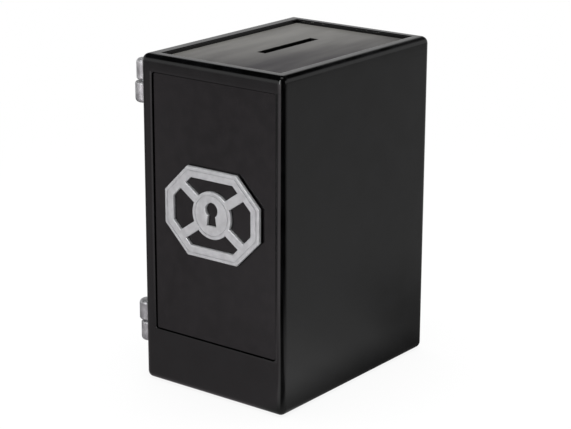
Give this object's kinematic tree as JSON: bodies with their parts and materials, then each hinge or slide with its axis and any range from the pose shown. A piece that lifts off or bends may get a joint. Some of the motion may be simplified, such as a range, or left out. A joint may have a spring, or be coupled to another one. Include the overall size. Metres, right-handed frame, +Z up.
{
  "type": "toy safe coin bank",
  "caption": "Upright box-shaped toy safe coin bank with a slotted top, inset side panels, a side badge and a hinged front door with a dial and a lever.",
  "frame": {"origin": "middle of the case's footprint, on the surface that the bank stands on", "axes": "+Z up; the door faces -Y and hangs near its +X edge; the badge faces +X"},
  "size_m": [0.1137, 0.0922, 0.155],
  "materials": {
    "black_shell": "satin",
    "black_inner": "matte",
    "silver_badge": "satin",
    "silver_hardware": "satin",
    "steel": "plated",
    "nylon": "matte",
    "foot_rubber": "matte"
  },
  "bodies": {
    "case": {"body_shell": "black_shell", "base_plate": "black_inner", "base_screws": "steel", "feet": "foot_rubber", "chamber_floor": "black_inner", "top_panel": "black_shell", "side_panel_right": "black_shell", "side_panel_left": "black_shell", "badge_backing": "black_shell", "badge_face": "silver_badge", "upper_hinge_frame_knuckle": "silver_hardware", "lower_hinge_frame_knuckle": "silver_hardware", "upper_hinge_pin": "steel", "lower_hinge_pin": "steel", "hinge_rivets_frame": "steel", "lock_keeper": "steel", "keeper_screws": "steel"},
    "door": {"door_shell": "black_shell", "door_liner": "black_inner", "liner_screws": "steel", "upper_hinge_door_knuckle": "silver_hardware", "lower_hinge_door_knuckle": "silver_hardware", "hinge_rivets_door": "steel", "dial_ring": "silver_hardware", "handle_plate": "silver_hardware"},
    "dial": {"dial_knob": "black_shell", "dial_spindle": "steel", "lock_disc": "steel", "dial_screw": "steel"},
    "handle": {"handle_lever": "silver_hardware", "handle_spindle": "steel", "drive_pinion": "nylon", "pinion_screw": "steel"},
    "bolt": {"latch_bolt": "nylon"}
  },
  "joints": [
    {"name": "door_hinge", "type": "hinge", "parent": "case", "child": "door", "pos_m": [0.0492, -0.04435, 0.0844], "axis": [0, 0, 1], "range_deg": [0, 180]},
    {"name": "dial_turn", "type": "hinge", "parent": "door", "child": "dial", "pos_m": [0, -0.04035, 0.101], "axis": [0, 1, 0], "continuous": true},
    {"name": "handle_turn", "type": "hinge", "parent": "door", "child": "handle", "pos_m": [0, -0.04035, 0.0621], "axis": [0, 1, 0], "range_deg": [0, 90]},
    {"name": "bolt_slide", "type": "slide", "parent": "door", "child": "bolt", "axis": [-1, 0, 0], "range_m": [0, 0.0071]}
  ],
  "couplings": [
    {"joint": "bolt_slide", "follows": "handle_turn", "m_per_rad": 0.0045}
  ]
}
